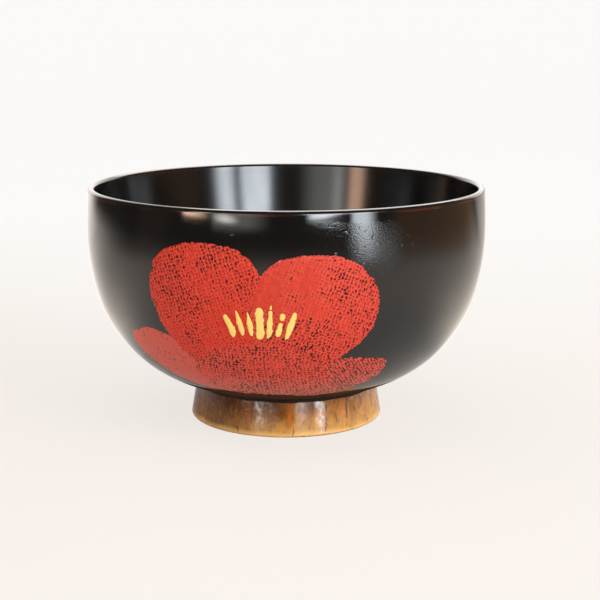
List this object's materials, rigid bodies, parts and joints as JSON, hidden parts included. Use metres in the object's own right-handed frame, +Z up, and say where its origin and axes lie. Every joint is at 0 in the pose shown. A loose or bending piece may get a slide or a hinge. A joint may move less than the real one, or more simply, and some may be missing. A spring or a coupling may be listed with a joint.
{
  "type": "lacquered soup bowl",
  "caption": "Open turned wooden soup bowl in black lacquer on a bare flared foot, with a red camellia and gold stamens painted on the front.",
  "frame": {"origin": "on the bowl's axis, in the plane of the table that the foot ring stands on", "axes": "+Z up along the bowl's axis, -Y toward the viewer of the painted front, +X to that viewer's right"},
  "size_m": [0.115, 0.1151, 0.068],
  "materials": {
    "oiled_wood": "bare turned wood, wiped with clear lacquer",
    "black_lacquer": "gloss",
    "red_lacquer": "satin, printed with cloth",
    "gold_paint": "satin"
  },
  "bodies": {
    "root": {"wood_core": "oiled_wood", "outer_lacquer": "black_lacquer", "inner_lacquer": "black_lacquer", "front_petal": "red_lacquer", "upper_right_petal": "red_lacquer", "upper_left_petal": "red_lacquer", "lower_right_petal": "red_lacquer", "lower_left_petal": "red_lacquer", "stamen_1": "gold_paint", "stamen_2": "gold_paint", "stamen_3": "gold_paint", "stamen_4": "gold_paint", "stamen_5": "gold_paint", "stamen_6": "gold_paint", "stamen_7": "gold_paint"}
  },
  "joints": []
}
